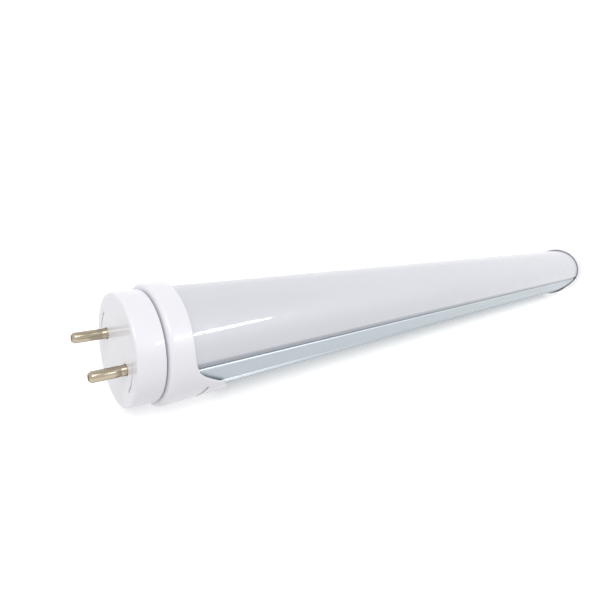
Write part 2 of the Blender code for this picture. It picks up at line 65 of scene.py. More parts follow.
# Sizes read from the frame
TUBE_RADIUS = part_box("heat_sink")[1].y
BODY_START, BODY_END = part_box("heat_sink")[0].x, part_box("heat_sink")[1].x
NEAR_FACE, FAR_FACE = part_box("near_pin_ring")[0].x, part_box("far_pin_ring")[1].x
RING_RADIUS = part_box("near_pin_ring")[1].z
COLLAR_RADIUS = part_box("near_collar")[1].z
COLLAR_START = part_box("near_collar")[0].x - NEAR_FACE
COLLAR_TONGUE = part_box("near_collar")[1].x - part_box("near_collar")[0].x
PIN_REACH = NEAR_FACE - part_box("near_pin_1")[0].x
PIN_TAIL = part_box("near_pin_1")[1].x - NEAR_FACE
PIN_RADIUS = (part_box("near_pin_1")[1].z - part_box("near_pin_1")[0].z) / 2.0
PIN_OFFSET = (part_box("near_pin_2")[0].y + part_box("near_pin_2")[1].y) / 2.0
HUB_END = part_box("near_pin_ring")[1].x - NEAR_FACE
FLOOR = cad_box[0][2]

# Cap profile details, as in the CAD
COLLAR_WALL = 0.8 * MM
COLLAR_HOLE = 8.8 * MM
COLLAR_SHORT = 5.4 * MM
TONGUE_EDGE_ANGLE = math.radians(82.0)
TONGUE_SOFTNESS = math.radians(15.0)
SHOULDER_ROUND = 0.8 * MM
RIM_ROUND = 0.28 * MM
RING_WALL = 1.1 * MM
RING_FACE = 1.8 * MM
RING_ROUND = 0.55 * MM
RING_LENGTH = 6.0 * MM
HUB_RADIUS = 8.5 * MM
HUB_BORE = 7.6 * MM
GROOVE = (7.3 * MM, 8.3 * MM, 8.1 * MM)
BOSS_ANGLE = math.radians(50.0)
BOSS_DISTANCE = 10.9 * MM
BOSS_RADIUS = 1.9 * MM
BOSS_BORE = 1.1 * MM
LATCH_ANGLE = math.radians(65.0)
LATCH_SLANT = math.radians(-14.0)
LATCH_FROM_COLLAR = 9.2 * MM
LATCH_SIZE = (0.7 * MM, 5.2 * MM, 2.0 * MM)
PIN_HOLE_GAP = 0.1 * MM
PIN_HOLE_FLARE = 0.45 * MM
PIN_HOLE_FLARE_DEPTH = 0.3499 * MM

# Extrusion details, in degrees from the middle of the back
SINK_HALF_SPAN = 97.5
FINE_BAND = (9.0, 37.0)
COARSE_BAND = (50.5, 72.0)
FINE_COUNT, FINE_DEPTH = 11, 0.25 * MM
COARSE_COUNT, COARSE_DEPTH = 7, 0.4 * MM
CHAMBER_RADIUS = 12.0 * MM
SHELF_TOP, SHELF_BOTTOM = -1.2 * MM, -2.4 * MM
LIP_INNER = 12.2 * MM
LIP_ROLL = 1.2
RAIL_OUTER, RAIL_INNER, RAIL_SLOT = 10.7 * MM, 8.9 * MM, 9.8 * MM
RAIL_FOOT, RAIL_TOP, RAIL_UNDER = -1.0 * MM, 0.9 * MM, 0.4 * MM
NOTCH_REACH, NOTCH_HALF_WIDTH, NOTCH_SPARE = 8.0 * MM, 3.0 * MM, 0.5 * MM
DIFFUSER_EDGE = 81.9
DIFFUSER_EASE_START = 74.0
DIFFUSER_EASE_DEPTH = 0.35 * MM
ALONG_X = (math.pi / 2, 0.0, math.pi / 2)

# The camera's place, from the middle of the near pin face, and the way it points
CAMERA_FROM_FACE = Vector((-26.3 * MM, -69.3 * MM, 63.0 * MM))
CAMERA_HEADING = math.radians(47.96)
CAMERA_TILT = math.radians(28.6)
CAMERA_ROLL = math.radians(19.64)
CAMERA_LENS = 24.42


# ---------------------------------------------------------------- materials

class Nodes:
    """A short way to build one material's node tree."""

    def __init__(self, name, colour, roughness, metallic=0.0, **sockets):
        self.material = bpy.data.materials.new(name)
        self.material.use_nodes = True
        self.tree = self.material.node_tree
        self.shader = self.tree.nodes["Principled BSDF"]
        self.shader.inputs["Base Color"].default_value = (*colour, 1.0)
        self.shader.inputs["Roughness"].default_value = roughness
        self.shader.inputs["Metallic"].default_value = metallic
        for socket, value in sockets.items():
            self.shader.inputs[socket.replace("_", " ")].default_value = value
        coordinates = self.tree.nodes.new("ShaderNodeTexCoord")
        self.place = coordinates.outputs["Object"]

    def link(self, source, target):
        self.tree.links.new(source, target)

    def noise(self, scale, detail=4.0, stretch=(1.0, 1.0, 1.0), rough=0.55):
        """Noise in object space, in cells per metre along each axis."""
        mapping = self.tree.nodes.new("ShaderNodeMapping")
        mapping.inputs["Scale"].default_value = [scale * s for s in stretch]
        texture = self.tree.nodes.new("ShaderNodeTexNoise")
        texture.inputs["Scale"].default_value = 1.0
        texture.inputs["Detail"].default_value = detail
        texture.inputs["Roughness"].default_value = rough
        self.link(self.place, mapping.inputs["Vector"])
        self.link(mapping.outputs["Vector"], texture.inputs["Vector"])
        return texture.outputs["Fac"]

    def ramp(self, source, low, high, from_low=0.3, from_high=0.7):
        """Stretch a 0 to 1 value between two numbers."""
        spread = self.tree.nodes.new("ShaderNodeMapRange")
        spread.inputs["From Min"].default_value = from_low
        spread.inputs["From Max"].default_value = from_high
        spread.inputs["To Min"].default_value = low
        spread.inputs["To Max"].default_value = high
        self.link(source, spread.inputs["Value"])
        return spread.outputs["Result"]

    def vary_colour(self, factor, first, second):
        """Drift the base colour between two tones."""
        mix = self.tree.nodes.new("ShaderNodeMix")
        mix.data_type = "RGBA"
        mix.inputs["A"].default_value = (*first, 1.0)
        mix.inputs["B"].default_value = (*second, 1.0)
        self.link(factor, mix.inputs["Factor"])
        self.link(mix.outputs["Result"], self.shader.inputs["Base Color"])
        return mix

    def vary_roughness(self, factor, low, high):
        self.link(self.ramp(factor, low, high), self.shader.inputs["Roughness"])

    def bump(self, height, distance, strength=1.0):
        bump = self.tree.nodes.new("ShaderNodeBump")
        bump.inputs["Distance"].default_value = distance
        bump.inputs["Strength"].default_value = strength
        self.link(height, bump.inputs["Height"])
        self.link(bump.outputs["Normal"], self.shader.inputs["Normal"])


def tone(colour, factor):
    """The same colour, lighter or darker."""
    return tuple(min(1.0, channel * factor) for channel in colour)


def moulded_plastic(name, colour, roughness, coat=0.0, grain=0.0):
    """Moulded plastic: faint flow marks, uneven gloss and a trace of surface grain."""
    made = Nodes(name, colour, roughness, Coat_Weight=coat, Coat_Roughness=0.06, IOR=1.49)
    flow = made.noise(60.0, 3.0)
    made.vary_colour(flow, tone(colour, 0.975), tone(colour, 1.015))
    made.vary_roughness(made.noise(300.0, 3.0), roughness * 0.85, roughness * 1.2)
    if grain:
        made.bump(made.noise(1300.0, 1.0), grain)
    return made.material


def opal_plastic(name, colour, roughness):
    """Opal polycarbonate: satin, with painted shade along its feet, next to the heat sink's lips."""
    made = Nodes(name, colour, roughness, Coat_Weight=0.5, Coat_Roughness=0.05, IOR=1.58)
    flow = made.noise(45.0, 3.0)
    mottle = made.vary_colour(flow, tone(colour, 0.98), tone(colour, 1.02))
    # Painted shade: between 3.5 mm and 2.7 mm up, the strip's colour blends down to a dark blue-grey along
    # its feet
    height = made.tree.nodes.new("ShaderNodeSeparateXYZ")
    made.link(made.place, height.inputs["Vector"])
    lit = made.ramp(height.outputs["Z"], 0.0, 1.0, 2.7 * MM, 3.5 * MM)
    shade = made.tree.nodes.new("ShaderNodeMix")
    shade.data_type = "RGBA"
    shade.inputs["A"].default_value = (0.34, 0.355, 0.40, 1.0)
    made.link(lit, shade.inputs["Factor"])
    made.link(mottle.outputs["Result"], shade.inputs["B"])
    made.link(shade.outputs["Result"], made.shader.inputs["Base Color"])
    made.vary_roughness(made.noise(300.0, 3.0), roughness * 0.85, roughness * 1.2)
    made.bump(made.noise(1.0, 2.0, (14.0, 420.0, 420.0)), 0.004 * MM)
    return made.material


def extruded_metal(name, colour, roughness):
    """Anodised aluminium: fine lines along the tube, and a painted highlight along the lips where they hold
    the diffuser.
    """
    made = Nodes(name, colour, roughness, 0.85)
    lines = made.noise(1.0, 6.0, (9.0, 5200.0, 5200.0), 0.7)
    lined = made.vary_colour(lines, tone(colour, 0.93), tone(colour, 1.05))
    # Painted highlight: above 1.25 to 1.5 mm up, on the lips' rolled edges, the colour is lightened 1.4 times
    height = made.tree.nodes.new("ShaderNodeSeparateXYZ")
    made.link(made.place, height.inputs["Vector"])
    painted_highlight_mask = made.ramp(height.outputs["Z"], 0.0, 1.0, 1.25 * MM, 1.5 * MM)
    edge = made.tree.nodes.new("ShaderNodeMix")
    edge.data_type = "RGBA"
    edge.inputs["B"].default_value = (*tone(colour, 1.4), 1.0)
    made.link(painted_highlight_mask, edge.inputs["Factor"])
    made.link(lined.outputs["Result"], edge.inputs["A"])
    made.link(edge.outputs["Result"], made.shader.inputs["Base Color"])
    made.vary_roughness(made.noise(1.0, 5.0, (40.0, 2600.0, 2600.0)), roughness * 0.85, roughness * 1.2)
    made.bump(lines, 0.006 * MM)
    return made.material


def turned_metal(name, colour, roughness):
    """Plated metal turned on a lathe: rings round the axis, and slight tarnish."""
    made = Nodes(name, colour, roughness, 1.0, Specular_Tint=(*tone(colour, 0.6), 1.0))
    rings = made.noise(1.0, 4.0, (9000.0, 60.0, 60.0))
    tarnish = made.noise(700.0, 5.0)
    made.vary_colour(tarnish, tone(colour, 0.86), tone(colour, 1.1))
    made.vary_roughness(made.noise(1100.0, 2.0), roughness * 0.8, roughness * 1.2)
    made.bump(rings, 0.0015 * MM)
    return made.material


def small_part(name, colour, roughness, metallic=0.0):
    """A small inner part: mottled tone, uneven gloss, fine grain."""
    made = Nodes(name, colour, roughness, metallic)
    made.vary_colour(made.noise(1500.0, 4.0), tone(colour, 0.8), tone(colour, 1.15))
    made.vary_roughness(made.noise(2500.0, 3.0), roughness * 0.8, roughness * 1.2)
    made.bump(made.noise(6000.0, 3.0), 0.01 * MM)
    return made.material


def circuit_board(name, colour, track):
    """Solder mask over copper, whose tracks show faintly through it."""
    made = Nodes(name, colour, 0.35, Coat_Weight=0.3)
    tracks = made.noise(1.0, 0.0, (160.0, 700.0, 1.0))
    made.vary_colour(made.ramp(tracks, 0.0, 1.0, 0.49, 0.51), colour, track)
    made.bump(made.ramp(tracks, 0.0, 1.0, 0.49, 0.51), 0.02 * MM)
    return made.material


CAP = moulded_plastic("cap plastic", (0.79, 0.785, 0.83), 0.40, coat=0.45, grain=0.002 * MM)
OPAL = opal_plastic("opal diffuser", (0.605, 0.612, 0.66), 0.48)
ALUMINIUM = extruded_metal("anodised aluminium", (0.44, 0.485, 0.515), 0.42)
PIN_METAL = turned_metal("nickel-plated brass", (0.48, 0.42, 0.32), 0.22)
STEEL = turned_metal("zinc-plated steel", (0.58, 0.58, 0.60), 0.34)
WHITE_BOARD = circuit_board("white board", (0.84, 0.85, 0.85), (0.78, 0.79, 0.78))
GREEN_BOARD = circuit_board("green board", (0.03, 0.17, 0.07), (0.05, 0.24, 0.10))
LED_PACKAGE = small_part("LED package", (0.86, 0.86, 0.84), 0.45)
PHOSPHOR = small_part("LED phosphor", (0.86, 0.66, 0.12), 0.35)
SOLDER = small_part("solder", (0.70, 0.70, 0.71), 0.30, 1.0)

INNER_FINISHES = {
    "driver_sleeve": small_part("shrink sleeve", (0.03, 0.03, 0.035), 0.40),
    "fuse_resistor": small_part("resistor enamel", (0.14, 0.30, 0.18), 0.50),
    "bridge_rectifier": small_part("rectifier epoxy", (0.02, 0.02, 0.02), 0.55),
    "controller_chip": small_part("chip epoxy", (0.022, 0.022, 0.024), 0.50),
    "input_choke": small_part("choke ferrite", (0.07, 0.07, 0.075), 0.60),
    "transformer_core": small_part("core ferrite", (0.06, 0.06, 0.065), 0.60),
    "transformer_winding": small_part("winding tape", (0.70, 0.55, 0.10), 0.30),
    "film_capacitor": small_part("film capacitor case", (0.66, 0.46, 0.06), 0.35),
    "input_capacitor": small_part("input capacitor sleeve", (0.08, 0.09, 0.13), 0.30),
    "output_capacitor": small_part("output capacitor sleeve", (0.05, 0.09, 0.07), 0.30),
    "live_wire": small_part("brown insulation", (0.18, 0.07, 0.03), 0.40),
    "neutral_wire": small_part("blue insulation", (0.04, 0.13, 0.42), 0.40),
    "led_plus_wire": small_part("red insulation", (0.50, 0.03, 0.03), 0.40),
    "led_minus_wire": small_part("black insulation", (0.03, 0.03, 0.03), 0.40),
}


# ---------------------------------------------------------------- mesh helpers

def finish_mesh(name, bm, materials, sharp_angle=32.0):
    """Turn a bmesh into a smooth-shaded object whose real corners stay crisp."""
    bmesh.ops.recalc_face_normals(bm, faces=bm.faces)
    mesh = bpy.data.meshes.new(name)
    bm.to_mesh(mesh)
    bm.free()
    for finish in materials:
        mesh.materials.append(finish)
    mesh.shade_smooth()
    mesh.set_sharp_from_angle(angle=math.radians(sharp_angle))
    made = bpy.data.objects.new(name, mesh)
    bpy.context.scene.collection.objects.link(made)
    return made


def fillet(centre, radius, start, end, count=6):
    """Points round a rounded corner, with angles in degrees, as (x, radius) pairs."""
    points = []
    for index in range(count + 1):
        angle = math.radians(start + (end - start) * index / count)
        points.append((centre[0] + radius * math.cos(angle), centre[1] + radius * math.sin(angle)))
    return points


def lathe(profile, steps=144, bm=None):
    """A closed solid turned about X; the profile's ends lie on the axis, or it is a closed loop."""
    bm = bm or bmesh.new()
    rows = []
    for x, radius in profile:
        if radius < 1e-7:
            rows.append([bm.verts.new((x, 0.0, 0.0))])
            continue
        turns = [2.0 * math.pi * i / steps for i in range(steps)]
        rows.append([bm.verts.new((x, radius * math.sin(t), -radius * math.cos(t))) for t in turns])
    pairs = list(zip(rows, rows[1:]))
    if len(rows[0]) > 1:
        pairs.append((rows[-1], rows[0]))
    for first, second in pairs:
        for i in range(steps):
            j = (i + 1) % steps
            corners = [first[i % len(first)], first[j % len(first)]]
            corners += [second[j % len(second)], second[i % len(second)]]
            kept = list(dict.fromkeys(corners))
            if len(kept) > 2:
                bm.faces.new(kept)
    return bm


def cut(target, *cutters):
    """Cut solids out of a piece and keep the result as its mesh."""
    for cutter in cutters:
        modifier = target.modifiers.new("Cut", "BOOLEAN")
        modifier.operation = "DIFFERENCE"
        modifier.solver = "EXACT"
        modifier.object = cutter
    depsgraph = bpy.context.evaluated_depsgraph_get()
    mesh = bpy.data.meshes.new_from_object(target.evaluated_get(depsgraph))
    target.modifiers.clear()
    target.data = mesh
    mesh.set_sharp_from_angle(angle=math.radians(32.0))
    for cutter in cutters:
        bpy.data.objects.remove(cutter, do_unlink=True)


def at_end(piece, end):
    """Place a piece drawn in a cap's frame at the near or the far end."""
    turn = Matrix.Translation((NEAR_FACE, 0.0, 0.0))
    if end == "far":
        turn = Matrix.Translation((FAR_FACE, 0.0, 0.0)) @ Matrix.Rotation(math.pi, 4, "Z")
    piece.data.transform(turn)
    return piece


def polar(radius, degrees_from_back):
    """A cross-section point (y, z); zero degrees is the middle of the heat sink's back."""
    angle = math.radians(degrees_from_back)
    return (radius * math.sin(angle), -radius * math.cos(angle))


def arc(radius, start, end, step=1.5):
    """Cross-section points along an arc, both ends included."""
    count = max(1, round(abs(end - start) / step))
    return [polar(radius, start + (end - start) * i / count) for i in range(count + 1)]


def mirrored(points):
    """The other side of a symmetric outline, in walking order."""
    return [(-y, z) for y, z in reversed(points)]


def extruded(name, outlines, start, end, finish):
    """A cross-section drawn along X, as a mesh; outlines after the first are holes."""
    curve = bpy.data.curves.new(name, "CURVE")
    curve.dimensions = "2D"
    curve.fill_mode = "BOTH"
    curve.extrude = (end - start) / 2.0
    for outline in outlines:
        spline = curve.splines.new("POLY")
        spline.points.add(len(outline) - 1)
        for point, (u, v) in zip(spline.points, outline):
            point.co = (u, v, 0.0, 1.0)
        spline.use_cyclic_u = True
    drawn = bpy.data.objects.new(name, curve)
    bpy.context.scene.collection.objects.link(drawn)
    depsgraph = bpy.context.evaluated_depsgraph_get()
    mesh = bpy.data.meshes.new_from_object(drawn.evaluated_get(depsgraph))
    bpy.data.objects.remove(drawn, do_unlink=True)
    bm = bmesh.new()
    bm.from_mesh(mesh)
    bpy.data.meshes.remove(mesh)
    bmesh.ops.remove_doubles(bm, verts=bm.verts, dist=1e-7)
    turn = Matrix.Rotation(ALONG_X[2], 4, "Z") @ Matrix.Rotation(ALONG_X[0], 4, "X")
    bmesh.ops.transform(bm, matrix=Matrix.Translation(((start + end) / 2.0, 0, 0)) @ turn, verts=bm.verts)
    return finish_mesh(name, bm, [finish])


# ---------------------------------------------------------------- body

def groove_band(band, count, depth):
    """A run of soft-edged grooves, as the die leaves them."""
    start, end = band
    pitch = (end - start) / count
    shape = ((0.04, 0.0), (0.16, 0.12), (0.26, 0.55), (0.34, 0.92), (0.42, 1.0),
             (0.58, 1.0), (0.66, 0.92), (0.74, 0.55), (0.84, 0.12), (0.96, 0.0))
    points = []
    for index in range(count):
        for along, down in shape:
            points.append(polar(TUBE_RADIUS - depth * down, start + (index + along) * pitch))
    return points


def rounded_lip():
    """The heat sink's lip over the diffuser, with its edge rolled over."""
    outer, inner = TUBE_RADIUS, LIP_INNER
    middle, half = (outer + inner) / 2.0, (outer - inner) / 2.0
    points = []
    for index in range(9):
        turn = math.pi * index / 8
        reach = SINK_HALF_SPAN - LIP_ROLL + LIP_ROLL * math.sin(turn)
        points.append(polar(middle + half * math.cos(turn), reach))
    return points


def sink_outline():
    """The extrusion's outside, lips, diffuser grooves and board rails."""
    back = arc(TUBE_RADIUS, 1.5, FINE_BAND[0])
    back += groove_band(FINE_BAND, FINE_COUNT, FINE_DEPTH)
    back += arc(TUBE_RADIUS, FINE_BAND[1], COARSE_BAND[0])
    back += groove_band(COARSE_BAND, COARSE_COUNT, COARSE_DEPTH)
    back += arc(TUBE_RADIUS, COARSE_BAND[1], SINK_HALF_SPAN - 1.8)
    inside = rounded_lip() + arc(LIP_INNER, SINK_HALF_SPAN - 2.5, 85.3)
    inside += [
        (RAIL_OUTER, RAIL_FOOT),
        (RAIL_OUTER, RAIL_TOP),
        (RAIL_INNER, RAIL_TOP),
        (RAIL_INNER, RAIL_UNDER),
        (RAIL_SLOT, RAIL_UNDER),
        (RAIL_SLOT, SHELF_TOP),
    ]
    return [polar(TUBE_RADIUS, 0.0)] + back + inside + mirrored(inside) + mirrored(back)


def chamber_outline():
    """The driver's D-shaped chamber, with the two screw bosses standing into it."""
    limit = math.degrees(math.acos(-SHELF_BOTTOM / CHAMBER_RADIUS))
    points = []
    for index in range(133):
        angle = -limit + 2.0 * limit * index / 132
        off_axis = math.radians(abs(angle)) - BOSS_ANGLE
        reach = BOSS_RADIUS ** 2 - (BOSS_DISTANCE * math.sin(off_axis)) ** 2
        radius = CHAMBER_RADIUS
        if reach > 0.0:
            radius = min(radius, BOSS_DISTANCE * math.cos(off_axis) - math.sqrt(reach))
        points.append(polar(radius, angle))
    return points


def boss_centre(side):
    """Where a screw boss stands in the cross-section, as (y, z)."""
    return side * BOSS_DISTANCE * math.sin(BOSS_ANGLE), -BOSS_DISTANCE * math.cos(BOSS_ANGLE)


def boss_holes():
    """The two screw holes as outlines."""
    holes = []
    for side in (-1, 1):
        y, z = boss_centre(side)
        turns = [2.0 * math.pi * i / 24 for i in range(24)]
        holes.append([(y + BOSS_BORE * math.cos(t), z + BOSS_BORE * math.sin(t)) for t in turns])
    return holes


def block_cutter(name, low, high):
    """A plain box used only to cut with."""
    bm = bmesh.new()
    bmesh.ops.create_cube(bm, size=1.0)
    size = [b - a for a, b in zip(low, high)]
    middle = [(a + b) / 2.0 for a, b in zip(low, high)]
    place = Matrix.Translation(middle) @ Matrix.Diagonal((*size, 1.0))
    bmesh.ops.transform(bm, matrix=place, verts=bm.verts)
    return finish_mesh(name, bm, [])


def make_heat_sink():
    """The ribbed aluminium extrusion, notched for the wires at both ends."""
    outlines = [sink_outline(), chamber_outline(), *boss_holes()]
    sink = extruded("ribbed_heat_sink", outlines, BODY_START, BODY_END, ALUMINIUM)
    notches = []
    for end, middle in (("near", BODY_START), ("far", BODY_END)):
        low = (middle - NOTCH_REACH, -NOTCH_HALF_WIDTH, SHELF_BOTTOM - NOTCH_SPARE)
        high = (middle + NOTCH_REACH, NOTCH_HALF_WIDTH, SHELF_TOP + NOTCH_SPARE)
        notches.append(block_cutter(f"{end}_notch", low, high))
    cut(sink, *notches)
    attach(sink, "tube")
    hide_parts("heat_sink")


def edge_relief(degrees_off_centre):
    """How far the diffuser's skin dips below the heat sink's lips near its edges."""
    span = DIFFUSER_EDGE - DIFFUSER_EASE_START
    past = max(0.0, abs(degrees_off_centre) - DIFFUSER_EASE_START) / span
    return DIFFUSER_EASE_DEPTH * past * past


def make_diffuser():
    """The opal strip, with eased edges beside the heat sink's lips."""
    edge = 180.0 - DIFFUSER_EDGE
    side = arc(11.9 * MM, edge, 92.0)
    side += arc(11.1 * MM, 92.0, 100.0)
    side += [polar(12.1 * MM, 102.0)]
    outside = []
    for index in range(133):
        off_centre = DIFFUSER_EDGE * (1.0 - 2.0 * index / 132)
        outside.append(polar(TUBE_RADIUS - edge_relief(off_centre), 180.0 + off_centre))
    inside = arc(12.1 * MM, 102.0, 258.0)[1:-1]
    outline = outside + side + inside + mirrored(side)
    strip = extruded("opal_strip", [outline], BODY_START, BODY_END, OPAL)
    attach(strip, "tube")
    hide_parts("diffuser")


# ---------------------------------------------------------------- end caps

def tongue_reach(angle_from_back):
    """How far the collar reaches along the tube, as a soft S between tongue and short side."""
    swing = math.tanh((abs(angle_from_back) - TONGUE_EDGE_ANGLE) / TONGUE_SOFTNESS)
    return COLLAR_SHORT + (COLLAR_TONGUE - COLLAR_SHORT) * 0.5 * (1.0 - swing)


def collar_section(reach):
    """The collar's wall as a closed (x, radius) loop, undercut at its rim where the tongue is long."""
    start, edge = COLLAR_START, COLLAR_START + reach
    undercut = 0.1 * MM + 0.28 * MM * (reach - COLLAR_SHORT) / (COLLAR_TONGUE - COLLAR_SHORT)
    outer, inner = COLLAR_RADIUS, COLLAR_RADIUS - COLLAR_WALL
    back_wall = start + COLLAR_WALL
    loop = [(start + 0.15 * MM, COLLAR_HOLE), (start, COLLAR_HOLE + 0.15 * MM)]
    loop += fillet((start + SHOULDER_ROUND, outer - SHOULDER_ROUND), SHOULDER_ROUND, 180.0, 90.0)
    first = start + SHOULDER_ROUND
    last = edge - RIM_ROUND
    loop += [(first + (last - first) * part, outer) for part in (0.2, 0.4, 0.6, 0.8)]
    loop += fillet((last, outer - RIM_ROUND), RIM_ROUND, 90.0, 0.0, 4)
    loop += [(edge, inner + undercut), (edge - 3.0 * undercut, inner)]
    loop += [(back_wall + 0.2 * MM, inner), (back_wall, inner - 0.2 * MM), (back_wall, COLLAR_HOLE)]
    return loop


def make_collar(end):
    """The fixed white sleeve, whose free edge sweeps from the short side down to the tongue."""
    bm = bmesh.new()
    steps = 180
    rows = []
    for index in range(steps):
        angle = 2.0 * math.pi * index / steps
        from_back = math.pi - abs(angle - math.pi)
        section = collar_section(tongue_reach(from_back))
        sine, cosine = math.sin(angle), math.cos(angle)
        rows.append([bm.verts.new((x, r * sine, -r * cosine)) for x, r in section])
    for first, second in zip(rows, rows[1:] + rows[:1]):
        for i in range(len(first)):
            j = (i + 1) % len(first)
            bm.faces.new((first[i], first[j], second[j], second[i]))
    collar = finish_mesh(f"{end}_swept_collar", bm, [CAP])
    cutters = [screw_seat(side) for side in (-1, 1)] + [latch_slot(side) for side in (-1, 1)]
    cut(collar, *cutters)
    at_end(collar, end)
    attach(collar, "tube")
    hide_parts(f"{end}_collar")


def screw_seat(side):
    """The countersunk hole for one cap screw, as a cutter."""
    y, z = boss_centre(side)
    bm = bmesh.new()
    bmesh.ops.create_cone(
        bm, cap_ends=True, segments=32, depth=COLLAR_WALL + 0.4 * MM,
        radius1=1.9 * MM, radius2=1.0 * MM,
    )
    place = Matrix.Translation((COLLAR_START + COLLAR_WALL / 2.0, y, z))
    place = place @ Matrix.Rotation(math.pi / 2.0, 4, "Y")
    bmesh.ops.transform(bm, matrix=place, verts=bm.verts)
    return finish_mesh("seat_cutter", bm, [])


def latch_slot(side):
    """The narrow slanted slit on one side of the tongue, as a cutter."""
    bm = bmesh.new()
    bmesh.ops.create_cube(bm, size=1.0)
    place = Matrix.Rotation(LATCH_ANGLE * side, 4, "X")
    place = place @ Matrix.Translation((COLLAR_START + LATCH_FROM_COLLAR, 0.0, -COLLAR_RADIUS))
    place = place @ Matrix.Rotation(LATCH_SLANT * side, 4, "Z")
    place = place @ Matrix.Diagonal((*LATCH_SIZE, 1.0))
    bmesh.ops.transform(bm, matrix=place, verts=bm.verts)
    return finish_mesh("latch_cutter", bm, [])


def ring_profile():
    """The turning end piece: rounded pin face, outer wall, and hub with its clip groove."""
    inside = RING_RADIUS - RING_WALL
    groove_start, groove_end, groove_radius = GROOVE
    profile = [(0.0, 0.0), (0.0, 3.0 * MM), (0.0, RING_RADIUS - RING_ROUND - 0.3 * MM)]
    profile += fillet((RING_ROUND, RING_RADIUS - RING_ROUND), RING_ROUND, 180.0, 90.0)
    profile += [
        (RING_LENGTH - 0.15 * MM, RING_RADIUS),
        (RING_LENGTH, RING_RADIUS - 0.15 * MM),
        (RING_LENGTH, inside),
        (RING_FACE, inside),
        (RING_FACE, HUB_RADIUS),
        (groove_start, HUB_RADIUS),
        (groove_start, groove_radius),
        (groove_end, groove_radius),
        (groove_end, HUB_RADIUS),
        (HUB_END, HUB_RADIUS - 0.3 * MM),
        (HUB_END, HUB_BORE),
        (RING_FACE, HUB_BORE),
        (RING_FACE, 0.0),
    ]
    return profile


def arc_groove(radius, start, end, width, depth):
    """A shallow curved groove in the pin face, as a cutter."""
    outer = arc(radius + width / 2.0, start, end, 2.0)
    inner = arc(radius - width / 2.0, start, end, 2.0)
    outline = outer + list(reversed(inner))
    return extruded("arc_cutter", [outline], -depth, depth, None)


def pin_hole(side):
    """The hole a pin stands in, as a cutter."""
    bm = lathe([
        (-1.0 * MM, 0.0),
        (-1.0 * MM, PIN_RADIUS + PIN_HOLE_FLARE),
        (PIN_HOLE_FLARE_DEPTH, PIN_RADIUS + PIN_HOLE_GAP),
        (RING_FACE + 1.0 * MM, PIN_RADIUS + PIN_HOLE_GAP),
        (RING_FACE + 1.0 * MM, 0.0),
    ], steps=32)
    bmesh.ops.translate(bm, vec=(0.0, side * PIN_OFFSET, 0.0), verts=bm.verts)
    return finish_mesh("pin_hole_cutter", bm, [])


def make_ring(end):
    """The white end piece that turns with the pins."""
    ring = finish_mesh(f"{end}_turning_ring", lathe(ring_profile()), [CAP])
    cutters = [pin_hole(side) for side in (-1, 1)]
    for middle in (90.0, 270.0):
        cutters.append(arc_groove(9.9 * MM, middle - 24.0, middle + 24.0, 0.5 * MM, 0.35 * MM))
    cut(ring, *cutters)
    at_end(ring, end)
    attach(ring, f"{end}_pin_end")
    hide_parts(f"{end}_pin_ring")


def make_pin(end, number, side):
    """A contact pin with a chamfered tip, a light crimp near its root and a thinner tail."""
    tip, root = -PIN_REACH, RING_FACE - 0.1 * MM
    chamfer = 0.55 * MM
    profile = [(tip, 0.0), (tip, PIN_RADIUS - chamfer * 0.75), (tip + 0.06 * MM, PIN_RADIUS - chamfer * 0.62)]
    profile += [(tip + chamfer * 0.9, PIN_RADIUS - 0.03 * MM), (tip + chamfer * 1.15, PIN_RADIUS)]
    for along in (-1.5, -1.3, -1.1, -0.9, -0.7):
        dip = 0.06 * MM * math.cos((along + 1.1) / 0.4 * math.pi / 2.0)
        profile.append((along * MM, PIN_RADIUS - max(0.0, dip)))
    profile += [(root - 0.05 * MM, PIN_RADIUS), (root, 0.9 * MM), (PIN_TAIL, 0.9 * MM), (PIN_TAIL, 0.0)]
    bm = lathe(profile, steps=48)
    bmesh.ops.translate(bm, vec=(0.0, side * PIN_OFFSET, 0.0), verts=bm.verts)
    pin = at_end(finish_mesh(f"{end}_contact_pin_{number}", bm, [PIN_METAL]), end)
    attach(pin, f"{end}_pin_end")
    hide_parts(f"{end}_pin_{number}")


def make_cap(end):
    """The visible mouldings and pins of one end."""
    make_collar(end)
    make_ring(end)
    for number, side in enumerate((-1, 1), 1):
        make_pin(end, number, side)


# ---------------------------------------------------------------- LEDs and inner parts

def add_box(bm, low, high, slot):
    """Add a box to an existing bmesh, with one material slot."""
    size = [b - a for a, b in zip(low, high)]
    middle = [(a + b) / 2.0 for a, b in zip(low, high)]
    made = bmesh.ops.create_cube(bm, size=1.0)
    place = Matrix.Translation(middle) @ Matrix.Diagonal((*size, 1.0))
    bmesh.ops.transform(bm, matrix=place, verts=made["verts"])
    for face in {face for vert in made["verts"] for face in vert.link_faces}:
        face.material_index = slot


